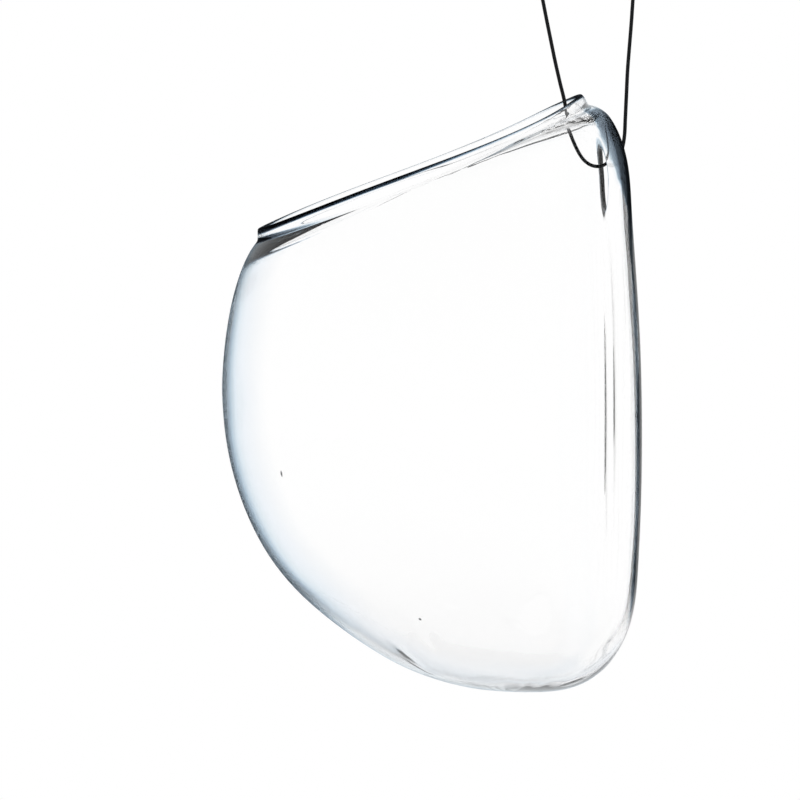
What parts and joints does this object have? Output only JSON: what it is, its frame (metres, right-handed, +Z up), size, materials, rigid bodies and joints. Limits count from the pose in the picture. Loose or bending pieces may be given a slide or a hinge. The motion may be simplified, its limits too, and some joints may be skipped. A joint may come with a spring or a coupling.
{
  "type": "hanging glass terrarium",
  "caption": "Mouth-blown clear glass hanging terrarium with a round belly, flat back and slanted open mouth, carried by a knotted loop of black round cord through a hole in its back.",
  "frame": {"origin": "underside of the cord loop's top, at the point where a peg or hook carries it", "axes": "+Z up; the round belly and the mouth face -Y and the flat back faces +Y; X runs from side to side"},
  "size_m": [0.186, 0.1816, 0.3326],
  "materials": {
    "clear_glass": "clear, polished, with a faint blue-grey tint",
    "black_cord": "satin waxed round cord"
  },
  "bodies": {
    "root": {"glass_vessel": "clear_glass", "hanging_cord": "black_cord", "cord_knot": "black_cord"}
  },
  "joints": []
}
